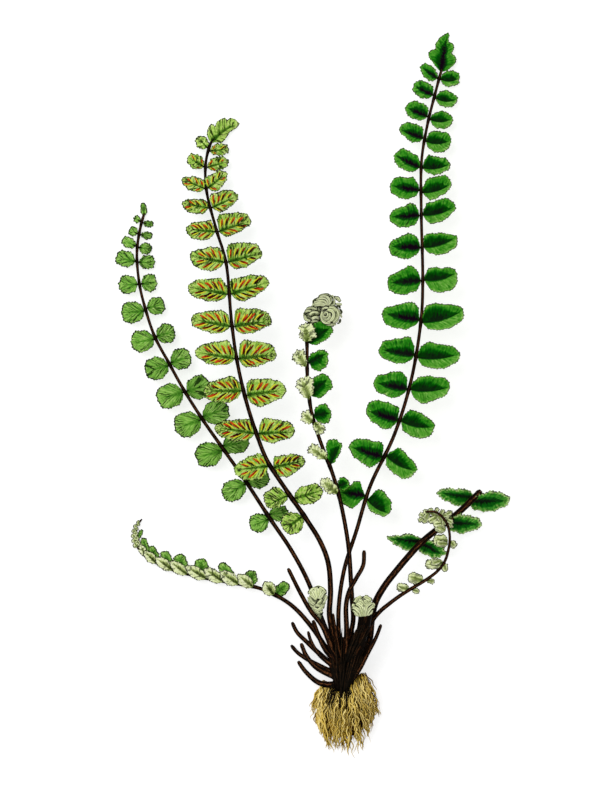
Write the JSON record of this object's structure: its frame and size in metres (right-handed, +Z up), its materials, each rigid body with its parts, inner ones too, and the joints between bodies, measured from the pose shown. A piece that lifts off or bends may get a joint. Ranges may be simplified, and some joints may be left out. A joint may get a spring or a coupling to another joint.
{
  "type": "maidenhair spleenwort fern plant",
  "caption": "Whole tufted fern lifted with its roots and laid flat: slender dark-stalked fronds with paired small leaflets, rolled young fronds, old bare stipes, scaly rhizome, fibrous roots.",
  "frame": {"origin": "middle of the whole plant's outline, on the surface that it lies on", "axes": "+Y from the roots to the frond tips, +X to the right as seen from above, +Z up from the surface"},
  "size_m": [0.0789, 0.1452, 0.0105],
  "materials": {
    "leaf_green": "satin",
    "under_green": "matte",
    "round_green": "satin",
    "pale_green": "matte",
    "stipe_brown": "satin",
    "root_tan": "matte"
  },
  "bodies": {
    "root": {"tall_frond": "leaf_green", "fertile_frond": "under_green", "round_leaved_frond": "round_green", "unrolling_frond": "pale_green", "arching_young_frond": "pale_green", "broken_frond": "leaf_green", "nodding_frond": "pale_green", "left_fiddlehead": "pale_green", "right_fiddlehead": "stipe_brown", "old_stipe_01": "stipe_brown", "old_stipe_02": "stipe_brown", "old_stipe_03": "stipe_brown", "old_stipe_04": "stipe_brown", "old_stipe_05": "stipe_brown", "old_stipe_06": "stipe_brown", "old_stipe_07": "stipe_brown", "old_stipe_08": "stipe_brown", "old_stipe_09": "stipe_brown", "old_stipe_10": "stipe_brown", "rhizome": "stipe_brown", "root_mass": "root_tan"}
  },
  "joints": []
}
